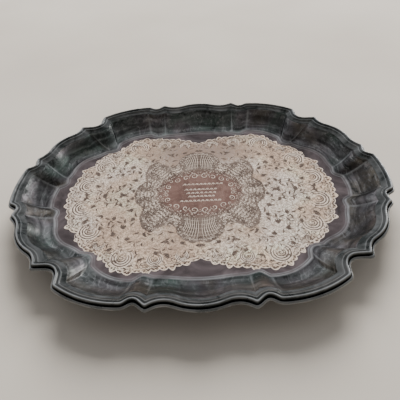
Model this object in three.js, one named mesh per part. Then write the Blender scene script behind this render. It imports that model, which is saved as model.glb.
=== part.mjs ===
// Oval silver salver with a twelve-lobed Chippendale border, on four cast feet.
// Millimetres, +Z up. X runs along the length, Y across it, and the feet stand on z = 0.
import * as THREE from "three";

// Driving dimensions.
const LENGTH = 406.4; // overall, over the outer bead
const FOOT_HEIGHT = 8; // floor to the underside of the well
const SHEET = 1.2; // thickness of the tray's sheet
const DEPTH = 22; // crest of the border above the flat of the well
const STEP_RISE = 1.4; // small step round the well
const STEP_WIDTH = 2.5;
const BEAD_REACH = 2.5; // how far the outer bead stands outside the border's upright wall
const BORDER_RISE = 4.6; // crest of the border above the flange it is soldered to
const FLANGE_OUT = 1.0; // the flange's edges, measured inwards from the border's upright wall
const FLANGE_IN = 10.2;
const GAP = 0.3; // solder line between pieces
const HOLLOW = 1.5; // depth of the spoon-shaped hollow in each lobe of the booge
const BOOGE_CURVE = 1.7; // over 1, the booge is steep at the rim and flat at the well
const FOOT_PLACE = { x: 110, y: 61, turn: 38 }; // a foot's centre and the way it points, in degrees

const WELL_TOP = FOOT_HEIGHT + SHEET;
const CREST = WELL_TOP + DEPTH;
const FLANGE_TOP = CREST - BORDER_RISE;
const BOOGE_FOOT = WELL_TOP + STEP_RISE;
const HALF_LENGTH = LENGTH / 2 - BEAD_REACH; // to the border's upright wall

// One quarter of the border's wall, from the X axis round to the Y axis. Each entry is a corner.
// rise is how far the arc that leads to it stands out from its chord (negative: hollow), fillet
// rounds the corner, and steps is the number of facets. joint marks where two lengths are mitred.
const RIM = [
  { x: HALF_LENGTH, y: 0 },
  { x: 197.4, y: 28.8, rise: 0.85, steps: 4 }, // end lobe
  { x: 187.6, y: 33.9, fillet: 5, joint: true }, // notch
  { x: 190.3, y: 46.1 }, // corner bow: cusp, hollow, belly, hollow, cusp
  { x: 179.2, y: 64, rise: -2.2, steps: 3 },
  { x: 159, y: 92.5, rise: 3.6, steps: 5 },
  { x: 150.7, y: 109.4, rise: -2.6, steps: 3 },
  { x: 126, y: 109.7, fillet: 11, joint: true }, // deep notch
  { x: 125.9, y: 130.2 },
  { x: 64.2, y: 151, rise: 5.3, steps: 6 }, // side lobe
  { x: 55.4, y: 145, fillet: 5, joint: true }, // notch
  { x: 45, y: 154.2 }, // half of the side bow
  { x: 22, y: 150.8, rise: -3.2, steps: 3 },
  { x: 0, y: 155.3, rise: 1.14, steps: 4 },
];

// The same corners where the booge meets the well: the same twelve lobes, softened.
const WELL = [
  { x: 166.6, y: 0 },
  { x: 164.6, y: 17, rise: 0.5, steps: 4 },
  { x: 155.6, y: 22.5, fillet: 5 },
  { x: 156.8, y: 32.5 },
  { x: 152.5, y: 47.5, rise: -0.5, steps: 3 },
  { x: 132.5, y: 73, rise: 4, steps: 5 },
  { x: 119, y: 81.8, rise: -0.5, steps: 3 },
  { x: 106, y: 83.5, fillet: 7 },
  { x: 104.5, y: 97 },
  { x: 62, y: 116.2, rise: 5.5, steps: 6 },
  { x: 53, y: 110, fillet: 5 },
  { x: 43, y: 113.6 },
  { x: 23, y: 115.2, rise: -0.3, steps: 3 },
  { x: 0, y: 117, rise: 0.4, steps: 4 },
];
const FILLET_STEPS = 4;

// The border's section: inset from the upright wall, and height below the crest.
const BORDER_SECTION = [
  [0.4, GAP - BORDER_RISE],
  [-1.3, -4.8],
  [-BEAD_REACH, -3.4], // outer bead
  [-1.2, -2.1],
  [0, -2.5], // foot of the upright wall
  [0.4, -0.6],
  [1.4, 0], // crest
  [2.4, -0.4],
  [3.4, -2.2],
  [5.4, -3.4], // cove
  [7.0, -2.9],
  [8.2, -2.6], // fine inner ridge
  [9.8, -3.9],
  [9.8, GAP - BORDER_RISE],
];

// The cast foot, from the inner tip of its leaf to the pad: places along its spine, with the
// spine's slope in degrees and half the width and thickness there. x points outwards.
const LEAF_TOP = FOOT_HEIGHT - GAP;
const FOOT_SPINE = [
  { x: -12, z: LEAF_TOP - 0.6, slope: 0, wide: 2.5, thick: 0.6 },
  { x: -8, z: LEAF_TOP - 0.8, slope: 0, wide: 6.5, thick: 0.8 },
  { x: -1, z: LEAF_TOP - 1.2, slope: -5, wide: 8.5, thick: 1.1 },
  { x: 4.5, z: LEAF_TOP - 1.9, slope: -22, wide: 6, thick: 1.7 },
  { x: 8.2, z: LEAF_TOP - 3.2, slope: -50, wide: 4.2, thick: 2 },
  { x: 9.8, z: 2.9, slope: -80, wide: 3.4, thick: 2.1 },
  { x: 10.6, z: 1.2, slope: -80, wide: 4.4, thick: 2.9 },
  { x: 11.4, z: 0, slope: -90, wide: 5.2, thick: 3.6 },
];
const FOOT_FACETS = 12;
const SECTION_SQUARENESS = 0.75; // under 1, an ellipse goes towards a rounded rectangle

// Corners with a fillet become the two ends of its arc. Each point keeps the signed radius of the
// arc that leads to it: positive bulges outwards, Infinity is straight.
function pathOf(outline) {
  const path = [];
  outline.forEach((corner, i) => {
    const here = new THREE.Vector2(corner.x, corner.y);
    if (!corner.fillet) {
      let radius = Infinity;
      if (corner.rise) {
        const chord = here.distanceTo(path.at(-1).at);
        radius = (chord * chord / 4 + corner.rise ** 2) / (2 * corner.rise);
      }
      path.push({ at: here, radius, steps: corner.steps ?? 1 });
      return;
    }
    const next = outline[i + 1];
    const back = path.at(-1).at.clone().sub(here).normalize();
    const ahead = new THREE.Vector2(next.x, next.y).sub(here).normalize();
    const halfTurn = (Math.PI - Math.acos(back.dot(ahead))) / 2;
    const reach = corner.fillet * Math.tan(halfTurn);
    path.push({ at: here.clone().addScaledVector(back, reach), radius: Infinity, steps: 1 });
    path.push({
      at: here.clone().addScaledVector(ahead, reach),
      radius: -corner.fillet,
      steps: FILLET_STEPS,
      joint: corner.joint,
    });
  });
  return path;
}

// The directions of travel at the start and the end of the arc between two points.
function tangents(from, to, radius) {
  const chord = to.clone().sub(from);
  const halfTurn = Math.asin(chord.length() / (2 * radius));
  return { start: chord.angle() - halfTurn, end: chord.angle() + halfTurn };
}

const outward = (angle) => new THREE.Vector2(Math.sin(angle), -Math.cos(angle));

// The path moved inwards by inset, with every corner kept as a mitre.
function insetPath(path, inset) {
  const sides = path.slice(1).map((p, i) => tangents(path[i].at, p.at, p.radius));
  return path.map((p, i) => {
    const before = i > 0 ? outward(sides[i - 1].end) : new THREE.Vector2(1, 0);
    const after = i < sides.length ? outward(sides[i].start) : new THREE.Vector2(0, 1);
    const onAxis = i === 0 ? before : after;
    const isEnd = i === 0 || i === sides.length;
    const mitre = isEnd ? onAxis : before.clone().add(after).divideScalar(1 + before.dot(after));
    return { ...p, at: p.at.clone().addScaledVector(mitre, -inset), radius: p.radius - inset };
  });
}

// Points along the path, an equal angle apart on each arc.
function samplePath(path) {
  const points = [path[0].at.clone()];
  path.slice(1).forEach((p, i) => {
    const from = path[i].at;
    const chord = p.at.clone().sub(from);
    const along = chord.clone().normalize();
    const out = new THREE.Vector2(along.y, -along.x);
    const middle = from.clone().add(p.at).divideScalar(2);
    for (let s = 1; s <= p.steps; s++) {
      if (!Number.isFinite(p.radius)) {
        points.push(from.clone().addScaledVector(chord, s / p.steps));
        continue;
      }
      const halfTurn = Math.asin(chord.length() / (2 * p.radius));
      const turn = halfTurn * (2 * s / p.steps - 1);
      const height = p.radius * (Math.cos(turn) - Math.cos(halfTurn));
      points.push(
        middle.clone().addScaledVector(along, p.radius * Math.sin(turn)).addScaledVector(out, height),
      );
    }
  });
  return points;
}

// A closed outline from its quarter, anticlockwise from the +X axis.
function mirrorFourWays(quarter) {
  const forward = quarter.slice(0, -1);
  const backward = quarter.slice(1).reverse();
  const flip = (points, sx, sy) => points.map((p) => new THREE.Vector2(p.x * sx, p.y * sy));
  return [
    ...flip(forward, 1, 1),
    ...flip(backward, -1, 1),
    ...flip(forward, -1, -1),
    ...flip(backward, 1, -1),
  ];
}

const rimPath = pathOf(RIM);
const wellPath = pathOf(WELL);
const rimRing = (inset) => mirrorFourWays(samplePath(insetPath(rimPath, inset)));
const wellRing = (inset) => mirrorFourWays(samplePath(insetPath(wellPath, inset)));
const raise = (ring, z) => ring.map((p) => new THREE.Vector3(p.x, p.y, z));

// The places round the outline where two lengths of border meet.
function jointPlaces() {
  const quarter = [];
  let count = 0;
  rimPath.forEach((p, i) => {
    if (i > 0) count += p.steps;
    if (p.joint) quarter.push(count - p.steps / 2);
  });
  const mirrored = [...quarter, ...quarter.map((j) => 2 * count - j).reverse()];
  return [...mirrored, ...mirrored.map((j) => j + 2 * count)];
}
const JOINTS = jointPlaces();

// A closed body from rings of equal length, each joined to the next; flat caps close both ends.
function solidFromRings(rings, capPlane) {
  const sides = rings[0].length;
  const positions = rings.flat().flatMap((p) => [p.x, p.y, p.z]);
  const index = [];
  for (let r = 0; r + 1 < rings.length; r++) {
    for (let i = 0; i < sides; i++) {
      const j = (i + 1) % sides;
      const [a, b, c, d] = [r * sides + i, r * sides + j, (r + 1) * sides + j, (r + 1) * sides + i];
      index.push(a, d, b, b, d, c);
    }
  }
  // The triangles always come out anticlockwise, whichever way the plane's points run.
  const turned = THREE.ShapeUtils.isClockWise(capPlane);
  const last = (rings.length - 1) * sides;
  THREE.ShapeUtils.triangulateShape(capPlane, []).forEach((triangle) => {
    const [a, b, c] = turned ? triangle.toReversed() : triangle;
    index.push(a, b, c);
    index.push(last + a, last + c, last + b);
  });
  const geometry = new THREE.BufferGeometry();
  geometry.setAttribute("position", new THREE.Float32BufferAttribute(positions, 3));
  geometry.setIndex(index);
  geometry.computeVertexNormals();
  return geometry;
}

// How far a point round the outline is into its lobe: 0 at each notch, 1 at the lobe's middle.
function lobeSwell(place, total) {
  const after = JOINTS.find((j) => j > place) ?? JOINTS[0] + total;
  const before = JOINTS.findLast((j) => j <= place) ?? JOINTS.at(-1) - total;
  return Math.sin(Math.PI * (place - before) / (after - before));
}

// A ring of the booge: part is 0 at the flange and 1 at the step round the well.
function boogeRing(part) {
  const outer = rimRing(FLANGE_IN);
  const inner = wellRing(0);
  const height = (1 - part) ** BOOGE_CURVE * (FLANGE_TOP - BOOGE_FOOT);
  return outer.map((p, i) => {
    const flat = p.clone().lerp(inner[i], part);
    const hollow = HOLLOW * Math.sin(Math.PI * part) * lobeSwell(i, outer.length);
    return new THREE.Vector3(flat.x, flat.y, BOOGE_FOOT + height - hollow);
  });
}

function trayGeometry() {
  const floor = wellRing(STEP_WIDTH);
  const top = [
    raise(floor, WELL_TOP),
    ...[1, 0.75, 0.5, 0.25, 0].map(boogeRing),
    raise(rimRing(FLANGE_OUT), FLANGE_TOP),
  ];
  const drop = new THREE.Vector3(0, 0, -SHEET);
  const under = top.map((ring) => ring.map((p) => p.clone().add(drop))).reverse();
  return solidFromRings([...top, ...under], floor);
}

// One length of the border, between two joints, with half a solder line left at each end.
function borderGeometry(from, to) {
  const lines = BORDER_SECTION.map(([inset, z]) => raise(rimRing(inset), CREST + z));
  const total = lines[0].length;
  const stations = [];
  for (let i = from; i <= to; i++) {
    stations.push(lines.map((line) => line[i % total].clone()));
  }
  const shorten = (end, next) => {
    const along = next[0].clone().sub(end[0]).setLength(GAP / 2);
    end.forEach((p) => p.add(along));
  };
  shorten(stations[0], stations[1]);
  shorten(stations.at(-1), stations.at(-2));
  const plane = BORDER_SECTION.map(([inset, z]) => new THREE.Vector2(inset, z));
  return solidFromRings(stations, plane);
}

function footGeometry() {
  const power = (value) => Math.sign(value) * Math.abs(value) ** SECTION_SQUARENESS;
  const unit = Array.from({ length: FOOT_FACETS }, (_, i) => {
    const angle = -2 * Math.PI * i / FOOT_FACETS;
    return new THREE.Vector2(power(Math.cos(angle)), power(Math.sin(angle)));
  });
  const rings = FOOT_SPINE.map(({ x, z, slope, wide, thick }) => {
    const lean = THREE.MathUtils.degToRad(slope);
    return unit.map((p) => new THREE.Vector3(
      x - Math.sin(lean) * p.y * thick,
      p.x * wide,
      z + Math.cos(lean) * p.y * thick,
    ));
  });
  return solidFromRings(rings, unit);
}

const silver = (color, roughness) => new THREE.MeshStandardMaterial({
  color,
  roughness,
  metalness: 1,
});

const salver = new THREE.Group();

function addPiece(name, geometry, material) {
  const mesh = new THREE.Mesh(geometry, material);
  mesh.name = name;
  salver.add(mesh);
  return mesh;
}

addPiece("tray_body", trayGeometry(), silver(0x8f8a88, 0.35));

// In order round the outline from the +X end.
const BORDER_NAMES = [
  "border_back_right_bow",
  "border_back_right_arc",
  "border_back_bow",
  "border_back_left_arc",
  "border_back_left_bow",
  "border_left_arc",
  "border_front_left_bow",
  "border_front_left_arc",
  "border_front_bow",
  "border_front_right_arc",
  "border_front_right_bow",
  "border_right_arc",
];
const ROUND = rimRing(0).length;
BORDER_NAMES.forEach((name, i) => {
  const end = JOINTS[i + 1] ?? JOINTS[0] + ROUND;
  addPiece(name, borderGeometry(JOINTS[i], end), silver(0x6f7678, 0.25));
});

for (const [side, sx] of [["right", 1], ["left", -1]]) {
  for (const [end, sy] of [["back", 1], ["front", -1]]) {
    const foot = addPiece(`foot_${end}_${side}`, footGeometry(), silver(0x7a7977, 0.4));
    const turn = THREE.MathUtils.degToRad(FOOT_PLACE.turn) * sx * sy;
    foot.position.set(FOOT_PLACE.x * sx, FOOT_PLACE.y * sy, 0);
    foot.rotation.z = sx > 0 ? turn : Math.PI + turn;
  }
}

export default salver;
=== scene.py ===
"""Oval silver salver with a twelve-lobed border, four cast feet and an engraved well.

Lengths are millimetres until a mesh is made, which turns them into metres. Only the lights, the
floor and the camera's clipping are in metres from the start.
"""

import cmath
import math
import random
from dataclasses import dataclass

import bpy
from mathutils import Matrix, Vector
from mathutils.geometry import tessellate_polygon


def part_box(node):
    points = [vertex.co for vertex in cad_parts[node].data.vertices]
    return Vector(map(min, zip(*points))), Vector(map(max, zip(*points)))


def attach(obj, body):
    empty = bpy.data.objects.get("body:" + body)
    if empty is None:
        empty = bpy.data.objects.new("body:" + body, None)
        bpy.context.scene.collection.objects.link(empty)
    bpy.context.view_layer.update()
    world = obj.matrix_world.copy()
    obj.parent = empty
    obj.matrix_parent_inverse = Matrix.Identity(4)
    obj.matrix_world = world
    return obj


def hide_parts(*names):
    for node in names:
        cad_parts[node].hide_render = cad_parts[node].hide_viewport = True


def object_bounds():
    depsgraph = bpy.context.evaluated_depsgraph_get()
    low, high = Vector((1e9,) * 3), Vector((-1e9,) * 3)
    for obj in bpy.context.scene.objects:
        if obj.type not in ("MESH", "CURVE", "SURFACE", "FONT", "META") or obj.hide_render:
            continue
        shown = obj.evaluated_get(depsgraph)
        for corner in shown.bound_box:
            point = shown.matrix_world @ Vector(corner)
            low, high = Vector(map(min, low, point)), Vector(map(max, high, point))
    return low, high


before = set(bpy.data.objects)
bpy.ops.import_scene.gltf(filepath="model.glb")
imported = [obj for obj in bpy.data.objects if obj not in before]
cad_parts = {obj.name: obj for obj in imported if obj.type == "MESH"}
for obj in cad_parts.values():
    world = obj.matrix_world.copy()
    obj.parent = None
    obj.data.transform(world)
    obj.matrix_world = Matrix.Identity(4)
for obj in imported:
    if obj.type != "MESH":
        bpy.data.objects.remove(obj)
cad_low, cad_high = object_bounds()
scene = bpy.context.scene
MM = 0.001

# ------ camera

CREST = cad_high.z / MM  # the top of the border, which the camera's place is measured from
CAMERA_AZIMUTH = math.radians(1.8)
CAMERA_ELEVATION = math.radians(44.25)
CAMERA_ROLL = math.radians(-3.6)
CAMERA_PLACE = Vector((9.54, -309.88, CREST + 267.62))
CAMERA_LENS = 34.115
CAMERA_SENSOR = 36
CAMERA_CLIP = 0.01


def make_camera():
    az, el, roll = CAMERA_AZIMUTH, CAMERA_ELEVATION, CAMERA_ROLL
    back = Vector((math.sin(az) * math.cos(el), -math.cos(az) * math.cos(el), math.sin(el)))
    level_right = Vector((math.cos(az), math.sin(az), 0))
    level_up = back.cross(level_right)
    right = math.cos(roll) * level_right + math.sin(roll) * level_up
    up = math.cos(roll) * level_up - math.sin(roll) * level_right
    data = bpy.data.cameras.new("camera")
    data.sensor_width = CAMERA_SENSOR
    data.lens = CAMERA_LENS
    data.clip_start = CAMERA_CLIP
    camera = bpy.data.objects.new("camera", data)
    scene.collection.objects.link(camera)
    turn = Matrix((right, up, back)).transposed().to_4x4()
    camera.matrix_world = Matrix.Translation(CAMERA_PLACE * MM) @ turn
    scene.camera = camera


make_camera()

# ------ sizes, from the frame


def node_box(name):
    """The node's lowest and highest corners in millimetres."""
    low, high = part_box(name)
    return low / MM, high / MM


FOOT_HEIGHT = node_box("tray_body")[0].z  # floor to the underside of the well
FLANGE_TOP = node_box("tray_body")[1].z
SHEET = 1.2  # how thick the sheet is
WELL_TOP = FOOT_HEIGHT + SHEET
STEP_RISE = 1.4
BOOGE_FOOT = WELL_TOP + STEP_RISE
BORDER_RISE = CREST - FLANGE_TOP
BEAD_REACH = 2.5  # from the border's upright wall to the outside of its bead
HALF_LENGTH = cad_high.x / MM - BEAD_REACH
FLANGE_OUT = 1.0  # inset of the flange's outer edge from the border's upright wall
FLANGE_IN = 10.2  # inset of its inner edge, where the booge starts

# ------ outlines

# One quarter of the border's upright wall, from the X axis to the Y axis. rise is how far the arc
# that leads to a corner stands out from its chord, fillet rounds the corner, and joint marks
# where two lengths of border meet.
RIM = [
    dict(x=HALF_LENGTH, y=0),
    dict(x=197.4, y=28.8, rise=0.85),
    dict(x=187.6, y=33.9, fillet=5, joint=True),
    dict(x=190.3, y=46.1),
    dict(x=179.2, y=64, rise=-2.2),
    dict(x=159, y=92.5, rise=3.6),
    dict(x=150.7, y=109.4, rise=-2.6),
    dict(x=126, y=109.7, fillet=11, joint=True),
    dict(x=125.9, y=130.2),
    dict(x=64.2, y=151, rise=5.3),
    dict(x=55.4, y=145, fillet=5, joint=True),
    dict(x=45, y=154.2),
    dict(x=22, y=150.8, rise=-3.2),
    dict(x=0, y=155.3, rise=1.14),
]

# The same corners where the booge meets the well.
WELL = [
    dict(x=166.6, y=0),
    dict(x=164.6, y=17, rise=0.5),
    dict(x=155.6, y=22.5, fillet=5),
    dict(x=156.8, y=32.5),
    dict(x=152.5, y=47.5, rise=-0.5),
    dict(x=132.5, y=73, rise=4),
    dict(x=119, y=81.8, rise=-0.5),
    dict(x=106, y=83.5, fillet=7),
    dict(x=104.5, y=97),
    dict(x=62, y=116.2, rise=5.5),
    dict(x=53, y=110, fillet=5),
    dict(x=43, y=113.6),
    dict(x=23, y=115.2, rise=-0.3),
    dict(x=0, y=117, rise=0.4),
]
SAMPLE_SPACING = 1.8  # millimetres along the wall between two samples


@dataclass
class Stop:
    """A point of a path, with the signed radius of the arc that leads to it."""

    at: complex
    radius: float = math.inf
    steps: int = 1
    joint: bool = False


def path_of(outline):
    """The outline as arcs between complex points, each fillet turned into an arc of its own."""
    path = []
    for i, corner in enumerate(outline):
        here = complex(corner["x"], corner["y"])
        if "fillet" not in corner:
            radius = math.inf
            if "rise" in corner:
                chord = abs(here - path[-1].at)
                radius = (chord**2 / 4 + corner["rise"] ** 2) / (2 * corner["rise"])
            path.append(Stop(here, radius))
            continue
        ahead = complex(outline[i + 1]["x"], outline[i + 1]["y"]) - here
        back = path[-1].at - here
        half_turn = (math.pi - abs(cmath.phase(ahead / back))) / 2
        reach = corner["fillet"] * math.tan(half_turn)
        path.append(Stop(here + back / abs(back) * reach))
        path.append(
            Stop(here + ahead / abs(ahead) * reach, -corner["fillet"], joint=corner.get("joint"))
        )
    return path


def arc_tangents(start, end, radius):
    """The directions of travel at the two ends of the arc, as angles."""
    chord = end - start
    half_turn = math.asin(abs(chord) / (2 * radius))
    return cmath.phase(chord) - half_turn, cmath.phase(chord) + half_turn


def inset_path(path, inset):
    """The path moved inwards, with every corner kept as a mitre."""
    sides = [arc_tangents(a.at, b.at, b.radius) for a, b in zip(path, path[1:])]
    moved = []
    for i, stop in enumerate(path):
        before = cmath.exp(1j * sides[i - 1][1]) / 1j if i > 0 else 1 + 0j
        after = cmath.exp(1j * sides[i][0]) / 1j if i < len(sides) else 1j
        if i == 0:
            mitre = before
        elif i == len(sides):
            mitre = after
        else:
            mitre = (before + after) / (1 + (before * after.conjugate()).real)
        moved.append(Stop(stop.at - inset * mitre, stop.radius - inset, stop.steps, stop.joint))
    return moved


def sample_path(path):
    """Points along the path, stop.steps of them on each arc."""
    points = [path[0].at]
    for a, b in zip(path, path[1:]):
        chord = b.at - a.at
        middle = (a.at + b.at) / 2
        along = chord / abs(chord)
        for s in range(1, b.steps + 1):
            if math.isinf(b.radius):
                points.append(a.at + chord * s / b.steps)
                continue
            half_turn = math.asin(abs(chord) / (2 * b.radius))
            turn = half_turn * (2 * s / b.steps - 1)
            rise = b.radius * (math.cos(turn) - math.cos(half_turn))
            points.append(middle + along * (b.radius * math.sin(turn) - 1j * rise))
    return points


def mirror_four_ways(quarter):
    """A closed outline from its quarter, anticlockwise from the +X axis."""
    forward, backward = quarter[:-1], quarter[:0:-1]
    return (
        forward
        + [-p.conjugate() for p in backward]
        + [-p for p in forward]
        + [p.conjugate() for p in backward]
    )


rim_path = path_of(RIM)
well_path = path_of(WELL)
for a, rim_stop, well_stop in zip(rim_path, rim_path[1:], well_path[1:]):
    steps = max(2, round(abs(rim_stop.at - a.at) / SAMPLE_SPACING))
    rim_stop.steps = well_stop.steps = steps + steps % 2


def soften(ring, times):
    """Each point drawn towards the middle of its neighbours, which rounds the cusps."""
    count = len(ring)
    for _ in range(times):
        ring = [ring[i] / 2 + (ring[i - 1] + ring[(i + 1) % count]) / 4 for i in range(count)]
    return ring


def rim_ring(inset):
    return mirror_four_ways(sample_path(inset_path(rim_path, inset)))


def well_ring(inset):
    return mirror_four_ways(sample_path(inset_path(well_path, inset)))


def joint_places():
    """The samples round the outline where two lengths of border meet."""
    quarter, count = [], 0
    for stop in rim_path[1:]:
        count += stop.steps
        if stop.joint:
            quarter.append(count - stop.steps // 2)
    half = quarter + [2 * count - j for j in reversed(quarter)]
    return half + [j + 2 * count for j in half]


ROUND = len(rim_ring(0))
JOINTS = joint_places()


def joint_distances():
    """For each sample, its place in its lobe (0 to 1) and its distance to the nearest joint."""
    ring = rim_ring(0)
    walked = [0.0]
    for i in range(ROUND):
        walked.append(walked[-1] + abs(ring[(i + 1) % ROUND] - ring[i]))
    total = walked[-1]
    marks = [walked[j] for j in JOINTS]
    marks = [marks[-1] - total] + marks + [marks[0] + total]
    shares, distances = [], []
    for i in range(ROUND):
        before = max(m for m in marks if m <= walked[i])
        after = min(m for m in marks if m > walked[i])
        shares.append((walked[i] - before) / (after - before))
        distances.append(min(walked[i] - before, after - walked[i]))
    return shares, distances


LOBE_SHARE, JOINT_DISTANCE = joint_distances()

# ------ meshes

SHARP_ANGLE = math.radians(52)  # edges that turn more than this stay sharp


def new_piece(name, vertices, faces, material, smooth=True, marks=None):
    """A mesh object from millimetres, riding on the part's one body.

    marks are named lists with one number for each vertex, which the materials read: the polish mark
    says how far handling and cleaning have kept it bright, together with painted highlight along
    ridges and edges and, under 0, painted shade, and band says how far down the booge it is.
    """
    mesh = bpy.data.meshes.new(name)
    mesh.from_pydata([(x * MM, y * MM, z * MM) for x, y, z in vertices], [], faces)
    for mark, values in (marks or {}).items():
        mesh.attributes.new(mark, "FLOAT", "POINT").data.foreach_set("value", values)
    mesh.update()
    if smooth:
        mesh.shade_smooth()
        mesh.set_sharp_from_angle(angle=SHARP_ANGLE)
    piece = bpy.data.objects.new(name, mesh)
    scene.collection.objects.link(piece)
    mesh.materials.append(material)
    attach(piece, "root")
    return piece


def raised(ring, z):
    return [(p.real, p.imag, z) for p in ring]


def tube_faces(rings, sides, closed_ends=True):
    """Quads between rings of equal length, and a face over each end."""
    faces = []
    for r in range(rings - 1):
        for i in range(sides):
            j = (i + 1) % sides
            faces.append((r * sides + i, r * sides + j, (r + 1) * sides + j, (r + 1) * sides + i))
    if closed_ends:
        faces.append(tuple(reversed(range(sides))))
        faces.append(tuple(range((rings - 1) * sides, rings * sides)))
    return faces


def catmull_rom(points, per_span):
    """A smooth line through the points, which are tuples of any length."""
    line = []
    for i in range(len(points) - 1):
        p0, p1 = points[max(i - 1, 0)], points[i]
        p2, p3 = points[i + 1], points[min(i + 2, len(points) - 1)]
        for s in range(per_span):
            t = s / per_span
            line.append(tuple(
                0.5 * (2 * b + (c - a) * t + (2 * a - 5 * b + 4 * c - d) * t * t
                       + (3 * b - a - 3 * c + d) * t**3)
                for a, b, c, d in zip(p0, p1, p2, p3)
            ))
    line.append(tuple(points[-1]))
    return line


# ------ materials


class Nodes:
    """Short calls that add nodes to a node tree."""

    def __init__(self, tree):
        self.tree = tree

    def node(self, kind, inputs=None, **settings):
        """A new node, whose inputs are given by name or number."""
        made = self.tree.nodes.new(kind)
        for key, value in settings.items():
            setattr(made, key, value)
        for key, value in (inputs or {}).items():
            self.feed(made.inputs[key], value)
        return made

    def feed(self, socket, value):
        """The socket takes an output of another node, a colour, a vector or a number."""
        if isinstance(value, bpy.types.NodeSocket):
            self.tree.links.new(value, socket)
        else:
            socket.default_value = (*value, 1) if socket.type == "RGBA" else value

    def ramp(self, value, stops):
        """A colour ramp; stops are (position, colour), and a single number is a grey."""
        made = self.node("ShaderNodeValToRGB", {"Fac": value})
        elements = made.color_ramp.elements
        while len(elements) < len(stops):
            elements.new(0.5)
        for element, (position, color) in zip(elements, stops):
            element.position = position
            grey = isinstance(color, (int, float))
            element.color = (color,) * 3 + (1,) if grey else (*color, 1)
        return made.outputs["Color"]


class Shader(Nodes):
    """A Principled material."""

    def __init__(self, name, metallic):
        self.material = bpy.data.materials.new(name)
        self.material.use_nodes = True
        super().__init__(self.material.node_tree)
        self.surface = self.tree.nodes["Principled BSDF"]
        self.surface.inputs["Metallic"].default_value = metallic
        self.place = self.node("ShaderNodeTexCoord").outputs["Object"]

    def stretched(self, scale, turn=0.0, shift=(0, 0, 0)):
        """The object's coordinates, scaled along each axis, turned about Z and shifted."""
        inputs = {"Vector": self.place, "Location": shift, "Scale": scale, "Rotation": (0, 0, turn)}
        return self.node("ShaderNodeMapping", inputs).outputs["Vector"]

    def noise(self, size_mm, detail=4.0, rough=0.55, distortion=0.0, vector=None):
        """Noise whose patches are about size_mm across."""
        return self.node("ShaderNodeTexNoise", {
            "Vector": vector or self.place,
            "Scale": 1000 / size_mm,
            "Detail": detail,
            "Roughness": rough,
            "Distortion": distortion,
        }).outputs["Fac"]

    def mix(self, share, a, b, blend="MIX"):
        """Colours a and b mixed, with share of b."""
        made = self.node("ShaderNodeMix", data_type="RGBA", blend_type=blend)
        sockets = {s.identifier: s for s in made.inputs}
        for key, value in (("Factor_Float", share), ("A_Color", a), ("B_Color", b)):
            self.feed(sockets[key], value)
        return next(s for s in made.outputs if s.identifier == "Result_Color")

    def over(self, color, other, pattern, low, high, share=1.0):
        """The other colour laid over the first where the pattern rises from low to high."""
        return self.mix(self.ramp(pattern, [(low, 0.0), (high, share)]), color, other)

    def bump(self, height, depth_mm, before=None):
        """A relief depth_mm deep, on top of the normal before it."""
        inputs = {"Strength": 1.0, "Distance": depth_mm * MM, "Height": height}
        if before:
            inputs["Normal"] = before
        return self.node("ShaderNodeBump", inputs).outputs["Normal"]

    def mark(self, name):
        """A number that the mesh holds for each vertex."""
        return self.node("ShaderNodeAttribute", attribute_name=name).outputs["Fac"]

    def banded(self, along, across):
        """Coordinates that change slowly round the booge and quickly down it."""
        level = self.node("ShaderNodeCombineXYZ", {"Z": self.times(self.mark("band"), across)})
        inputs = {0: self.stretched((along, along, 0)), 1: level.outputs["Vector"]}
        return self.node("ShaderNodeVectorMath", inputs, operation="ADD").outputs["Vector"]

    def from_middle(self, half_length, half_width, back=0.0):
        """1 at a point back from the middle of the well, falling to 0 on an ellipse round it."""
        scale = (1000 / half_length, 1000 / half_width, 0)
        inputs = {"Vector": self.stretched(scale, shift=(0, -back / half_width, 0))}
        return self.node("ShaderNodeTexGradient", inputs, gradient_type="SPHERICAL").outputs["Fac"]

    def times(self, a, b, clamped=False):
        """The product, kept between 0 and 1 when clamped."""
        made = self.node("ShaderNodeMath", {0: a, 1: b}, operation="MULTIPLY", use_clamp=clamped)
        return made.outputs["Value"]

    def finish(self, color, roughness, normal):
        for name, output in (("Base Color", color), ("Roughness", roughness), ("Normal", normal)):
            self.feed(self.surface.inputs[name], output)
        return self.material


def scratches(shader, normal, depth_mm):
    """Fine wear scratches in two directions."""
    for turn, size in ((0.4, 0.5), (-0.9, 0.7)):
        vector = shader.stretched((1, 0.03, 1), turn)
        lines = shader.ramp(shader.noise(size, 2, vector=vector), [(0.62, 0), (0.7, 1)])
        normal = shader.bump(lines, depth_mm, normal)
    return normal


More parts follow.
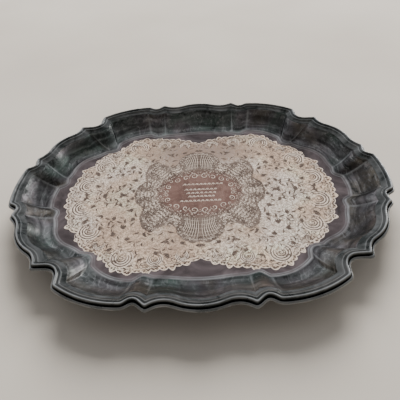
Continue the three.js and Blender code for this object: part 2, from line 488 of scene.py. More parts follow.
def sheet_material():
    """Tarnished silver: cloudy grey-green, with olive, purple and rust in the thick tarnish."""
    s = Shader("tarnished_sheet", 1.0)
    clouds = s.noise(38, 6, 0.6, 1.2)
    streaks = s.noise(9, 5, 0.65, 1.5)
    hue = s.ramp(s.noise(60, 3, 0.5, 0.6), [
        (0.32, (0.08, 0.106, 0.093)),
        (0.45, (0.115, 0.122, 0.118)),
        (0.55, (0.132, 0.121, 0.127)),
        (0.68, (0.131, 0.115, 0.093)),
    ])
    depth = s.ramp(clouds, [(0.34, 0.5), (0.5, 0.9), (0.68, 1.5)])
    color = s.mix(1.0, hue, depth, "MULTIPLY")
    blotches = s.noise(14, 5, 0.6, 0.4)
    color = s.over(color, (0.024, 0.027, 0.026), blotches, 0.55, 0.69, 0.9)
    scuffs = s.noise(7, 5, 0.7, 2.0, s.stretched((1, 0.35, 1), 0.7))
    color = s.over(color, (0.3, 0.3, 0.3), scuffs, 0.52, 0.7, 0.75)
    color = s.over(color, (0.24, 0.248, 0.256), streaks, 0.5, 0.72, 0.35)
    by_flange = s.ramp(s.mark("band"), [(0.03, 1.0), (0.3, 0.0)])
    spots = s.times(s.ramp(s.noise(9, 5, 0.6, 0.3), [(0.53, 0.0), (0.68, 0.95)]), by_flange)
    color = s.mix(spots, color, (0.012, 0.014, 0.013))
    bands = s.noise(1000, 2, 0.5, 0.6, s.banded(14, 5))
    color = s.mix(1.0, color, s.ramp(bands, [(0.36, 0.5), (0.5, 0.95), (0.64, 1.45)]), "MULTIPLY")
    well = s.mix(1.0, (0.152, 0.122, 0.123), depth, "MULTIPLY")
    color = s.over(color, well, s.mark("band"), 0.84, 0.92)
    color = s.over(color, (0.096, 0.056, 0.042), s.noise(5, 5, 0.7), 0.68, 0.78, 0.6)
    # Painted highlight, with rubbed wear: the polish mark lightens the rib crests and the step round
    # the well into light lines.
    wear_and_painted_light = s.times(s.mark("polish_and_painted_light"), s.ramp(s.noise(30, 4, 0.6), [(0.36, 0.3), (0.6, 1.0)]))
    color = s.mix(wear_and_painted_light, color, (0.48, 0.496, 0.496))
    roughness = s.ramp(streaks, [(0.3, 0.28), (0.55, 0.38), (0.75, 0.55)])
    normal = s.bump(s.noise(24, 2), 0.35)
    normal = s.bump(s.noise(1.2, 3), 0.012, normal)
    return s.finish(color, roughness, scratches(s, normal, 0.004))


def border_material():
    """The cast border, brighter along its crest from handling and a painted highlight, with painted
    light on the bead's outside and painted shade down its upright wall.
    """
    s = Shader("border_silver", 1.0)
    patches = s.noise(18, 5, 0.65, 0.8)
    dark = s.ramp(patches, [(0.36, (0.04, 0.045, 0.043)), (0.64, (0.19, 0.19, 0.186))])
    # Painted shade: under 0 the polish mark turns the colour near black. That is real tarnish in the
    # groove and painted shade on the upright wall and the cove.
    groove_tarnish_and_painted_shade = s.times(s.mark("polish_and_painted_light"), -1.0, clamped=True)
    dark = s.mix(groove_tarnish_and_painted_shade, dark, (0.006, 0.007, 0.007))
    # Painted highlight and painted light: the polish mark brightens the crest, with rubbed wear, and
    # lightens the bead's outer face, which faces the shaded floor.
    unevenness = s.ramp(s.noise(22, 4), [(0.35, 0.45), (0.6, 1.0)])
    wear_and_painted_light = s.times(s.mark("polish_and_painted_light"), unevenness, clamped=True)
    color = s.mix(wear_and_painted_light, dark, (0.48, 0.49, 0.49))
    roughness = s.ramp(patches, [(0.3, 0.24), (0.7, 0.4)])
    normal = s.bump(s.noise(3.5, 2), 0.02)
    return s.finish(color, roughness, scratches(s, normal, 0.002))


def foot_material():
    s = Shader("foot_silver", 1.0)
    edges = s.node("ShaderNodeNewGeometry").outputs["Pointiness"]
    patches = s.noise(5, 5, 0.6)
    dark = s.ramp(patches, [(0.35, (0.14, 0.14, 0.135)), (0.65, (0.34, 0.33, 0.32))])
    color = s.over(dark, (0.62, 0.61, 0.58), edges, 0.46, 0.56)
    roughness = s.ramp(patches, [(0.3, 0.25), (0.7, 0.5)])
    return s.finish(color, roughness, s.bump(s.noise(0.6, 3), 0.03))


def ground_material():
    """The engraved ground, cleaner than the sheet round it: pinkish, satin, brown in its cuts."""
    s = Shader("engraved_ground", 0.5)
    clouds = s.ramp(s.noise(34, 4, 0.6), [
        (0.33, (0.64, 0.465, 0.355)),
        (0.5, (0.916, 0.702, 0.536)),
        (0.67, (0.985, 0.95, 0.735)),
    ])
    color = s.over(clouds, (0.47, 0.34, 0.262), s.from_middle(112, 98), 0.05, 0.42, 0.55)
    color = s.over(color, (0.985, 0.93, 0.86), s.noise(60, 3, 0.5), 0.47, 0.62, 0.7)
    color = s.over(color, (0.25, 0.176, 0.155), s.from_middle(92, 56, 80), 0.0, 0.6, 0.85)
    cuts = s.ramp(s.noise(2.2, 4, 0.75, 0.8), [(0.42, 0.9), (0.58, 0.0)])
    color = s.mix(cuts, color, (0.34, 0.235, 0.168))
    blots = s.noise(4.5, 3, 0.6, 1.5)
    color = s.over(color, (0.254, 0.175, 0.133), blots, 0.58, 0.68, 0.75)
    roughness = s.ramp(s.noise(2.0, 4), [(0.35, 0.42), (0.65, 0.62)])
    normal = s.bump(s.noise(0.7, 4, 0.7), 0.04)
    return s.finish(color, roughness, normal)


def medallion_material():
    """Reddish-brown tarnish in the plain middle, paler and greyer out under the scrollwork."""
    s = Shader("medallion_tarnish", 0.7)
    clouds = s.noise(16, 5, 0.6, 0.8)
    red = s.ramp(clouds, [
        (0.3, (0.13, 0.071, 0.058)),
        (0.5, (0.195, 0.11, 0.09)),
        (0.7, (0.27, 0.163, 0.134)),
    ])
    grey = s.ramp(clouds, [(0.35, (0.13, 0.093, 0.075)), (0.65, (0.27, 0.205, 0.168))])
    color = s.over(grey, red, s.from_middle(70, 54), 0.24, 0.42)
    color = s.over(color, (0.56, 0.43, 0.36), s.noise(1.1, 4, 0.7), 0.56, 0.7, 0.45)
    roughness = s.ramp(s.noise(5, 4), [(0.35, 0.4), (0.65, 0.55)])
    normal = s.bump(s.noise(0.8, 4, 0.7), 0.03)
    return s.finish(color, roughness, scratches(s, normal, 0.004))


def cut_material(name, metallic, low, high):
    """The face of an engraved cut, from a low to a high colour."""
    s = Shader(name, metallic)
    color = s.ramp(s.noise(3, 4, 0.6), [(0.35, low), (0.65, high)])
    roughness = s.ramp(s.noise(2, 3), [(0.35, 0.4), (0.65, 0.55)])
    return s.finish(color, roughness, s.bump(s.noise(0.5, 2), 0.01))


SHEET_SILVER = sheet_material()
BORDER_SILVER = border_material()
FOOT_SILVER = foot_material()
GROUND = ground_material()
MEDALLION = medallion_material()
DARK_CUT = cut_material("dark_cut", 0.7, (0.1, 0.072, 0.058), (0.19, 0.14, 0.115))
FINE_CUT = cut_material("fine_cut", 0.6, (0.26, 0.19, 0.15), (0.4, 0.31, 0.25))
BROWN_CUT = cut_material("brown_cut", 0.7, (0.045, 0.032, 0.026), (0.09, 0.066, 0.055))
BRIGHT_CUT = cut_material("bright_cut", 0.4, (0.66, 0.53, 0.43), (0.88, 0.76, 0.65))

# ------ tray body

BOOGE_RINGS = 26
BOOGE_CURVE = 1.7  # the power of its fall from the flange to the step
HOLLOW = 1.5  # how far each lobe is hollowed in its middle
LOBE_FULLNESS = 0.35  # the lower, the nearer to its ends a lobe keeps its full hollow
RIB_HEIGHT = 0.7
RIB_WIDTH = 1.6
RIB_POLISH_AND_HIGHLIGHT = 0.55  # at the most, half way down the booge; painted highlight along the rib crests, with rubbed wear
RIB_APART = (10.5, 11.5)  # from the joint to each rib beside it, at the flange and at the well
PANEL_BULGE = 0.9  # how far the booge swells up between the two ribs at a joint
PANEL_FULLNESS = 0.7  # the lower, the squarer the swelling
PANEL_EASE = 9.0  # how far outside its ribs a lobe takes to reach its full hollow
STEP_POLISH_AND_HIGHLIGHT = 0.25  # where the booge meets the step; painted highlight along the step's edge, with rubbed wear

# The small step round the well: inset from the well's outline, height above the well, polish, which
# is rubbed wear with a painted highlight along the step's edges.
STEP_SECTION = [
    (0.7, 1.33, 0.45),
    (1.3, 1.05, 0.8),
    (2.0, 0.62, 0.5),
    (2.6, 0.3, 0.1),
    (3.1, 0.28, 0.35),
    (3.6, 0.3, 0.5),
    (4.1, 0.18, 0.25),
    (4.7, 0.03, 0),
    (5.2, 0.0, 0),
]
WELL_SHRINK = (0.97, 0.85, 0.6, 0.3)  # rings in the well, as shares of its edge
BAND_AT_STEP = 0.8  # the mark called band runs from 0 at the flange to this, and is 1 in the well


def booge_ring(part):
    """A ring of the booge and its polish, which is painted highlight on the ribs and the step with
    rubbed wear: part is 0 at the flange and 1 at the step.
    """
    outer, inner = rim_ring(FLANGE_IN), well_ring(0)
    height = (1 - part) ** BOOGE_CURVE * (FLANGE_TOP - BOOGE_FOOT)
    bell = math.sin(math.pi * part)
    apart = RIB_APART[0] * (1 - part) + RIB_APART[1] * part
    points, polish_and_painted_light = [], []
    for i in range(ROUND):
        p = outer[i] * (1 - part) + inner[i] * part
        outside = min(1.0, max(0.0, (JOINT_DISTANCE[i] - apart) / PANEL_EASE))
        ease = outside * outside * (3 - 2 * outside)
        swell = ease * math.sin(math.pi * LOBE_SHARE[i]) ** LOBE_FULLNESS
        rib = math.exp(-(((JOINT_DISTANCE[i] - apart) / RIB_WIDTH) ** 2))
        between = max(0.0, 1 - JOINT_DISTANCE[i] / apart)
        bulge = PANEL_BULGE * bell * math.sin(math.pi * between / 2) ** PANEL_FULLNESS
        lift = RIB_HEIGHT * rib * bell**0.5 + bulge
        points.append((p.real, p.imag, BOOGE_FOOT + height - HOLLOW * bell * swell + lift))
        polish_and_painted_light.append(max(RIB_POLISH_AND_HIGHLIGHT * rib * bell**0.3, STEP_POLISH_AND_HIGHLIGHT if part == 1 else 0))
    return points, polish_and_painted_light


def make_tray():
    booge = [booge_ring(i / BOOGE_RINGS) for i in range(BOOGE_RINGS + 1)]
    top = [raised(rim_ring(FLANGE_OUT), FLANGE_TOP)] + [points for points, _ in booge]
    polish_and_painted_light = [0.0] * ROUND + [value for _, values in booge for value in values]
    band = [0.0] * ROUND
    for i in range(BOOGE_RINGS + 1):
        band += [BAND_AT_STEP * i / BOOGE_RINGS] * ROUND
    for inset, z, value in STEP_SECTION:
        top.append(raised(well_ring(inset), WELL_TOP + z))
        polish_and_painted_light += [value] * ROUND
    edge = well_ring(STEP_SECTION[-1][0])
    top += [raised([p * shrink for p in edge], WELL_TOP) for shrink in WELL_SHRINK]
    under = [[(x, y, z - SHEET) for x, y, z in ring] for ring in reversed(top)]
    vertices = [v for ring in top + under for v in ring]
    rings = len(top) + len(under)
    faces = tube_faces(rings, ROUND, closed_ends=False)
    # The rings run in to the middle on top and out again beneath, so the middle has a face on
    # top and one beneath, and the outer edge joins the last ring to the first.
    last = len(top) - 1
    faces = [f for f in faces if f[0] // ROUND != last]
    faces.append(tuple(range(last * ROUND, (last + 1) * ROUND)))
    faces.append(tuple(reversed(range((last + 1) * ROUND, (last + 2) * ROUND))))
    for i in range(ROUND):
        j = (i + 1) % ROUND
        faces.append(((rings - 1) * ROUND + i, (rings - 1) * ROUND + j, j, i))
    polish_and_painted_light += [0.0] * (len(vertices) - len(polish_and_painted_light))
    band += [1.0] * (len(top) * ROUND - len(band))
    band += [BAND_AT_STEP * value for value in reversed(band)]
    marks = {"polish_and_painted_light": polish_and_painted_light, "band": band}
    piece = new_piece("tray", vertices, faces, SHEET_SILVER, marks=marks)
    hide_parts("tray_body")


make_tray()

# ------ border

# The border's section: inset from the upright wall, height below the crest, and polish: rubbed wear
# and painted highlight on the crest, painted light on the bead's outside, and, under 0, black tarnish
# in the groove with painted shade down the upright wall and in the cove.
BORDER_SECTION = [
    (0.6, -BORDER_RISE, 0),
    (-2.2, -5.0, 0.2),
    (-2.5, -4.6, 0.35),
    (-2.25, -4.05, 0.4),
    (-1.8, -3.55, 0.4),
    (-1.3, -3.2, 0.45),
    (-0.85, -3.1, 0.3),
    (-0.5, -3.5, -0.5),
    (-0.3, -4.05, -1),
    (0.0, -4.05, -1),
    (0.15, -3.1, -1),
    (0.28, -1.9, -1),
    (0.5, -0.95, -0.6),
    (0.8, -0.42, 0.2),
    (1.25, -0.1, 0.85),
    (1.8, 0, 0.9),
    (2.4, -0.3, 0.3),
    (2.9, -1.0, -0.2),
    (3.6, -1.7, -0.4),
    (4.3, -1.75, -0.1),
    (4.9, -1.45, 0.45),
    (5.5, -1.75, 0.1),
    (6.3, -2.6, -0.15),
    (7.5, -3.3, -0.2),
    (8.6, -3.75, -0.15),
    (9.8, -4.2, -0.15),
    (10.1, -BORDER_RISE, -0.15),
]
SECTION_STEPS = 3  # between two points of the section
BEAD_SOFTENING = 5  # the bead's cusps are rounder than the crest's
CREST_SOFTENING = 1


def border_rings(section):
    rings = []
    for inset, z, _ in section:
        times = BEAD_SOFTENING if inset < 0 else CREST_SOFTENING
        rings.append(raised(soften(rim_ring(inset), times), CREST + z))
    return rings


def make_border(name, rings, section, start, end):
    stations = [[ring[i % ROUND] for ring in rings] for i in range(start, end + 1)]
    vertices = [v for station in stations for v in station]
    faces = tube_faces(len(stations), len(rings))
    marks = {"polish_and_painted_light": [value for _, _, value in section] * len(stations)}
    made = name + "_moulding"
    piece = new_piece(made, vertices, faces, BORDER_SILVER, marks=marks)
    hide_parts(name)


# The lengths of border, anticlockwise from the first joint.
BORDER_NAMES = ["border_" + place for place in (
    "back_right_bow", "back_right_arc", "back_bow", "back_left_arc", "back_left_bow", "left_arc",
    "front_left_bow", "front_left_arc", "front_bow", "front_right_arc", "front_right_bow",
    "right_arc",
)]


def make_borders():
    section = catmull_rom(BORDER_SECTION, SECTION_STEPS)
    rings = border_rings(section)
    for i, name in enumerate(BORDER_NAMES):
        end = JOINTS[i + 1] if i + 1 < len(JOINTS) else JOINTS[0] + ROUND
        make_border(name, rings, section, JOINTS[i], end)


make_borders()

# ------ feet

# From the inner tip of the leaf to the pad: place along the foot, height under the leaf's top,
# slope in degrees, half width and half thickness.
FOOT_SPINE = [
    (-12.0, 0.5, 0, 1.2, 0.5),
    (-9.0, 0.7, 0, 5.6, 0.7),
    (-5.0, 0.9, -2, 8.0, 0.9),
    (-1.0, 1.2, -6, 8.3, 1.1),
    (3.0, 1.7, -18, 6.8, 1.5),
    (6.0, 2.5, -36, 4.8, 1.9),
    (8.2, 3.6, -54, 3.9, 2.0),
    (9.6, 4.9, -76, 3.3, 2.0),
    (10.3, 6.0, -82, 3.6, 2.4),
    (10.8, 6.9, -85, 4.6, 3.1),
    (11.2, 7.45, -90, 5.0, 3.5),
    (11.3, 7.7, -90, 4.6, 3.1),
]
FOOT_STATIONS = 4  # between two places of the spine
FOOT_FACETS = 56
FOOT_PLACE = (110, 61)  # of the spine's zero, from the middle of the well
FOOT_TURN = math.radians(38)  # how far the spine is turned away from the X axis
SQUARENESS = 0.75  # 1 makes the foot's section an ellipse, and less a rounder box
LEAF_SHARE = 0.6  # of the spine, from its inner tip
LEAF_LOBES = 0.1
LEAF_VEINS = 5
VEIN_DEPTH = 0.22

# The scroll behind the knee, a round bar wound about the Y axis.
VOLUTE_CENTRE = Vector((7.6, 0, 2.6))
VOLUTE_RADIUS = 2.0
VOLUTE_TURNS = 1.6
VOLUTE_BAR = 0.55  # half the bar's thickness where it starts
VOLUTE_WIDTH = 2.6  # half its width
VOLUTE_START = math.radians(200)
VOLUTE_STEPS = 18  # to a turn
VOLUTE_FACETS = 10


def foot_rings(top):
    """Rings round the spine of a leaf that bends down to a scrolled pad."""
    rings = []
    spine = catmull_rom(FOOT_SPINE, FOOT_STATIONS)
    for number, (x, drop, slope, wide, thick) in enumerate(spine):
        lean = math.radians(slope)
        leaf = max(0.0, 1 - number / (LEAF_SHARE * len(spine)))
        lobes = 1 + LEAF_LOBES * leaf * math.sin(number * 1.35)
        ring = []
        for i in range(FOOT_FACETS):
            angle = -2 * math.pi * i / FOOT_FACETS
            c, s = math.cos(angle), math.sin(angle)
            px = math.copysign(abs(c) ** SQUARENESS, c)
            py = math.copysign(abs(s) ** SQUARENESS, s)
            flute = 0.0
            if py < 0:
                flute = VEIN_DEPTH * math.cos(px * math.pi * LEAF_VEINS) * (1 - px * px)
            depth = thick * (py + flute * (0.4 + leaf))
            ring.append((x - math.sin(lean) * depth, px * wide * lobes,
                         top - drop + math.cos(lean) * depth))
        rings.append([(a, b, min(max(z, 0.0), top)) for a, b, z in ring])
    return rings


def volute():
    """Rings along the scroll's bar, from its outer end in."""
    rings = []
    steps = int(VOLUTE_TURNS * VOLUTE_STEPS)
    for k in range(steps + 1):
        t = k / steps
        angle = VOLUTE_START - t * VOLUTE_TURNS * 2 * math.pi
        r = VOLUTE_RADIUS * (1 - 0.82 * t)
        bar = VOLUTE_BAR * (1 - 0.5 * t)
        out = Vector((math.cos(angle), 0, math.sin(angle)))
        ring = []
        for i in range(VOLUTE_FACETS):
            a = 2 * math.pi * i / VOLUTE_FACETS
            side = Vector((0, VOLUTE_WIDTH * math.sin(a), 0))
            ring.append(tuple(VOLUTE_CENTRE + out * (r + bar * math.cos(a)) + side))
        rings.append(ring)
    return rings


def make_foot(name):
    """A foot with its scroll, in the corner of its CAD node and up to that node's top."""
    low, high = node_box(name)
    side = math.copysign(1, low.x + high.x)
    back = math.copysign(1, low.y + high.y)
    middle_x, middle_y = FOOT_PLACE[0] * side, FOOT_PLACE[1] * back
    turn = FOOT_TURN * side * back + (0 if side > 0 else math.pi)
    c, s = math.cos(turn), math.sin(turn)
    vertices, faces = [], []
    for rings in (foot_rings(high.z), volute()):
        start = len(vertices)
        vertices += [(middle_x + x * c - y * s, middle_y + x * s + y * c, z)
                     for ring in rings for x, y, z in ring]
        faces += [tuple(start + v for v in face) for face in tube_faces(len(rings), len(rings[0]))]
    piece = new_piece(name + "_cast", vertices, faces, FOOT_SILVER)
    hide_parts(name)


for end in ("back", "front"):
    for side in ("left", "right"):
        make_foot(f"foot_{end}_{side}")

# ------ engraving

GROUND_TOP = WELL_TOP + 0.06
MEDALLION_TOP = WELL_TOP + 0.11
PLATE_SUNK = 0.1  # how far a plate's underside lies in the sheet
CUT_HEIGHT = 0.1
SUNK = 0.02  # how far the cuts' undersides lie in the plate
SCALLOP_STEPS = 8
draw = random.Random(41)


class Cuts:
    """Engraved strokes gathered into one mesh: each is a low three-sided bar with sharp ends."""

    def __init__(self, base, allowed):
        self.base = base
        self.allowed = allowed  # says whether a point may be cut
        self.vertices = []
        self.faces = []

    def stroke(self, line, width, swell=0.7):
        """line is complex points; the stroke is widest in its middle, by the share swell."""
        count = len(line)
        if not all(self.allowed(p) for p in (line[0], line[count // 2], line[-1])):
            return
        start = len(self.vertices)
        for i, p in enumerate(line):
            ahead = line[min(i + 1, count - 1)] - line[max(i - 1, 0)]
            across = 1j * ahead / abs(ahead)
            bell = math.sin(math.pi * (i + 0.15) / (count - 0.7))
            half = width / 2 * (1 - swell + swell * bell)
            ridge = CUT_HEIGHT * (0.3 + 0.7 * bell)
            for q, z in ((p + across * half, 0), (p, ridge), (p - across * half, 0)):
                self.vertices.append((q.real, q.imag, self.base + z))
        for i in range(count - 1):
            a = start + 3 * i
            self.faces.append((a, a + 3, a + 4, a + 1))
            self.faces.append((a + 1, a + 4, a + 5, a + 2))
            self.faces.append((a, a + 2, a + 5, a + 3))
        end = start + 3 * (count - 1)
        self.faces += [(start, start + 1, start + 2), (end, end + 2, end + 1)]

    def four(self, line, width, swell=0.7):
        """The stroke and its mirror images in both axes."""
        self.stroke(line, width, swell)
        self.stroke([-p.conjugate() for p in line], width, swell)
        self.stroke([-p for p in line], width, swell)
        self.stroke([p.conjugate() for p in line], width, swell)

    def make(self, name, material):
        new_piece(name, self.vertices, self.faces, material, smooth=False)


def spiral(centre, radius, start, turns, inner=0.15, steps_per_turn=14):
    """A scroll that winds in from radius; negative turns wind clockwise. Angles in degrees."""
    steps = max(5, int(abs(turns) * steps_per_turn))
    line = []
    for i in range(steps + 1):
        t = i / steps
        angle = math.radians(start) + turns * 2 * math.pi * t
        line.append(centre + cmath.rect(radius * (1 - (1 - inner) * t**0.85), angle))
    return line


def bow(start, end, rise, steps=7):
    """A curved stroke from start to end that stands rise to the left of its chord."""
    chord = end - start
    left = 1j * chord / abs(chord)
    return [
        start + chord * i / steps + left * rise * math.sin(math.pi * i / steps)
        for i in range(steps + 1)
    ]


def inside(point, outline):
    """Whether a complex point is inside a closed outline."""
    hit = False
    for a, b in zip(outline, outline[1:] + outline[:1]):
        if (a.imag > point.imag) != (b.imag > point.imag):
            cross = a.real + (point.imag - a.imag) * (b.real - a.real) / (b.imag - a.imag)
            hit ^= point.real < cross
    return hit


def scalloped(corners, chord, rises):
    """A quarter outline whose edges are rows of small arcs about as long as chord."""
    points = []
    number = 0
    for a, b in zip(corners, corners[1:]):
        edge = complex(*b) - complex(*a)
        count = max(1, round(abs(edge) / chord))
        out = -1j * edge / abs(edge)
        for k in range(count):
            rise = rises[number % len(rises)]
            number += 1
            for i in range(SCALLOP_STEPS):
                part = i / SCALLOP_STEPS
                along = complex(*a) + edge * ((k + part) / count)
                points.append(along + out * rise * math.sin(math.pi * part))
    points.append(complex(*corners[-1]))
    return points


def plate(name, quarter, z, material):
    """A thin flat plate on the well with the outline of four mirrored quarters."""
    outline = mirror_four_ways(quarter)
    count = len(outline)
    vertices = raised(outline, z) + raised(outline, WELL_TOP - PLATE_SUNK)
    triangles = tessellate_polygon([[Vector((p.real, p.imag, 0)) for p in outline]])
    faces = []
    for a, b, c in triangles:
        turn = ((outline[b] - outline[a]).conjugate() * (outline[c] - outline[a])).imag
        a, c = (a, c) if turn > 0 else (c, a)
        faces += [(a, b, c), (c + count, b + count, a + count)]
    for i in range(count):
        j = (i + 1) % count
        faces.append((j, i, i + count, j + count))
    new_piece(name, vertices, faces, material, smooth=False)


# The corners of a quarter of each plate, from the X axis to the Y axis.
GROUND_QUARTER = [
    (147.5, 0), (144.5, 18), (139.5, 34), (136, 48), (124.5, 53), (122.5, 66), (116, 74),
    (104.5, 79), (93, 87.5), (85.5, 98), (73, 104.5), (55, 104), (30, 100.5), (17.5, 97.5),
    (9.5, 94.5), (0, 91),
]
MEDALLION_QUARTER = [
    (73, 0), (70, 13), (61, 22), (64, 36), (60, 50), (51, 57), (42, 50), (32, 45), (25, 51),
    (23, 60), (16.5, 68), (8, 72.5), (0, 70.5),
]
GROUND_SCALLOP = 8.5
GROUND_RISES = (2.4, 4.2, 1.4, 3.2, 0.9, 4.6, 2.0)  # of one scallop after the other
MEDALLION_SCALLOP = 4.0
MEDALLION_RISES = (0.9,)
CENTRE_HALF = (40, 29)  # half the length and the width of the plain middle and its scrolls
WELL_CORNER = 150 + 110j  # beyond every point of the ground's quarter
MEDALLION_CORNER = 74 + 76j  # and of the medallion's

ground_edge = scalloped(GROUND_QUARTER, GROUND_SCALLOP, GROUND_RISES)
medallion_edge = scalloped(MEDALLION_QUARTER, MEDALLION_SCALLOP, MEDALLION_RISES)
plate("engraved_ground", ground_edge, GROUND_TOP, GROUND)
plate("engraved_medallion", medallion_edge, MEDALLION_TOP, MEDALLION)

ground_outline = mirror_four_ways(ground_edge)
medallion_outline = mirror_four_ways(medallion_edge)


def scattered(corner, allowed, spacing, tries):
    """Seeded points at least spacing apart, from the middle to the corner, where allowed."""
    found = []
    for _ in range(tries):
        p = complex(draw.uniform(0, corner.real), draw.uniform(0, corner.imag))
        if allowed(p) and all(abs(p - q) > spacing for q in found):
            found.append(p)
    return found


def in_centre(p):
    """Whether the point is in the rounded oblong in the middle that the small curls leave free."""
    return (abs(p.real) / CENTRE_HALF[0]) ** 3 + (abs(p.imag) / CENTRE_HALF[1]) ** 3 < 1


def on_ground(p):
    return inside(p, ground_outline) and not inside(p, medallion_outline)


def on_medallion(p):
    return inside(p, medallion_outline)


dark_cuts = Cuts(GROUND_TOP - SUNK, on_ground)
fine_cuts = Cuts(GROUND_TOP - SUNK, on_ground)
edge_cuts = Cuts(GROUND_TOP - SUNK, lambda p: True)
bright_cuts = Cuts(MEDALLION_TOP - SUNK, on_medallion)
brown_cuts = Cuts(MEDALLION_TOP - SUNK, on_medallion)


def engrave_edge():
    """The lace round the ground: a bright line on its scallops, and dark eyes in each."""
    for k in range(0, len(ground_edge) - SCALLOP_STEPS, SCALLOP_STEPS):
        scallop = ground_edge[k:k + SCALLOP_STEPS + 1]
        edge_cuts.four(scallop, 1.3, swell=0.2)
        chord = scallop[-1] - scallop[0]
        inward = 1j * chord / abs(chord)
        middle = (scallop[0] + scallop[-1]) / 2
        for share in (-0.22, 0.22):
            eye = middle + chord * share + inward * 0.5
            dark_cuts.four(bow(eye - chord * 0.13, eye + chord * 0.13, -0.8, 5), 2.4)
        for cuts, depth, rise, width in ((edge_cuts, 3.4, -1.6, 0.9), (dark_cuts, 4.6, -1.4, 0.7)):
            cuts.four(bow(scallop[0] + inward * depth, scallop[-1] + inward * depth, rise, 6), width)
        dark_cuts.four(spiral(middle + inward * 7.4, 1.9, draw.uniform(0, 360), 0.8), 0.8)


BIG_SCROLLS = [  # centre, radius, the angle at which its opening faces, how far it winds on
    (128 + 18j, 12.5, 190, 1),
    (114 + 52j, 11.5, 235, -1),
    (76 + 88j, 11.0, 260, 1),
    (44 + 91j, 7.5, 275, -1),
    (18 + 88j, 6.0, 280, 1),
    (101 + 71j, 5.5, 240, 1),
    (135 + 37j, 5.0, 210, -1),
]
FULL_SCROLL = 9  # the radius under which a scroll's strokes get narrower
SCROLL_ROWS = 3
RUFF_STROKES = 5
ARC_STEPS = 22


def engrave_scrolls():
    """The large scrolls by the lace: rows of bright and dark arcs round a curl, and a ruff."""
    for centre, radius, opening, winding in BIG_SCROLLS:
        for k in range(SCROLL_ROWS):
            r = radius * (1 - 0.24 * k)
            sweep = math.radians(292 - 28 * k)
            first = math.radians(opening) + winding * (2 * math.pi - sweep) / 2
            for cuts, apart, width in ((edge_cuts, 0, 1.9), (dark_cuts, 0.12 * radius, 1.7)):
                arc = [
                    centre + cmath.rect(r - apart, first + winding * sweep * i / ARC_STEPS)
                    for i in range(ARC_STEPS + 1)
                ]
                cuts.four(arc, width * min(1, radius / FULL_SCROLL), swell=0.45)
        dark_cuts.four(spiral(centre, radius * 0.34, opening, 1.2 * winding, steps_per_turn=16), 1.3)
        for k in range(RUFF_STROKES):
            angle = math.radians(opening) + winding * (1.0 + 0.95 * k)
            outer = centre + cmath.rect(radius * 1.12, angle)
            tip = centre + cmath.rect(radius * 1.5, angle + winding * 0.35)
            dark_cuts.four(bow(outer, tip, 0.9, 5), 1.5)


# Stems of the foliage: where each starts by the medallion, ends by the lace, and how far it bows.
SPRAYS = [
    (76 + 5j, 128 + 4j, 5),
    (74 + 14j, 124 + 27j, -8),
    (69 + 24j, 118 + 46j, 9),
    (66 + 40j, 103 + 64j, -7),
    (60 + 54j, 88 + 78j, 7),
    (46 + 60j, 66 + 88j, -6),
    (36 + 54j, 46 + 86j, 6),
    (28 + 64j, 30 + 88j, -4),
    (14 + 78j, 12 + 90j, 2),
    (96 + 12j, 136 + 12j, -6),
    (92 + 36j, 130 + 34j, 6),
    (84 + 56j, 108 + 74j, 5),
]
LEAF_WIDTHS = (2.0, 3.2)
LEAF_LENGTHS = (4.5, 8.0)
LEAF_LEANS = (0.55, 1.1)
CURL_CHANCE = 0.55
TUFT_LEANS = (-0.75, -0.35, 0.0, 0.35, 0.7)


def leaf(cuts, base, heading, length, width, curve):
    cuts.four(bow(base, base + heading * length, curve, 5), width, swell=0.9)


def engrave_spray(leaves, lines, start, end, rise, size, spacing):
    """A fine stem with leaves on both sides, smaller towards its tip, and a curl at its end."""
    steps = max(6, round(abs(end - start) / 2))
    stem = bow(start, end, rise, steps)
    lines.four(stem, 0.7 * size**0.5)
    for k in range(1, steps, spacing):
        along = stem[k + 1] - stem[k]
        along /= abs(along)
        grown = size * (1.1 - 0.45 * k / steps)
        for side in (1, -1):
            heading = along * cmath.exp(1j * side * draw.uniform(*LEAF_LEANS))
            base = stem[k] + 1j * side * along * grown * draw.uniform(0.8, 2.0)
            length = grown * draw.uniform(*LEAF_LENGTHS)
            width = grown * draw.uniform(*LEAF_WIDTHS)
            leaf(leaves, base, heading, length, width, side * -0.9 * size)
            if draw.random() < CURL_CHANCE:
                curl = base + heading * 3 * grown + 1j * side * along * 3.2 * grown
                turned = math.degrees(cmath.phase(heading)) + 90
                lines.four(spiral(curl, 2.9 * grown, turned, side * 0.9, 0.2, 13), 0.65 * size**0.5)
    tip_turn = math.degrees(cmath.phase(stem[-1] - stem[-2]))
    turns = math.copysign(1.1, rise)
    leaves.four(spiral(end, 2.6 * size, tip_turn + 180, turns, 0.2, 14), 0.9 * size)


def by_lace(p):
    """Whether the point is in the band of close ornament inside the lace."""
    return inside(p, ground_outline) and not inside(p * 1.13, ground_outline)


def engrave_curls(cuts, points, radii, turns, inner, steps, widths):
    """A curl at each point, wound either way."""
    for p in points:
        radius = draw.uniform(*radii)
        wound = draw.choice((-1, 1)) * draw.uniform(*turns)
        line = spiral(p, radius, draw.uniform(0, 360), wound, inner, steps)
        cuts.four(line, draw.uniform(*widths))


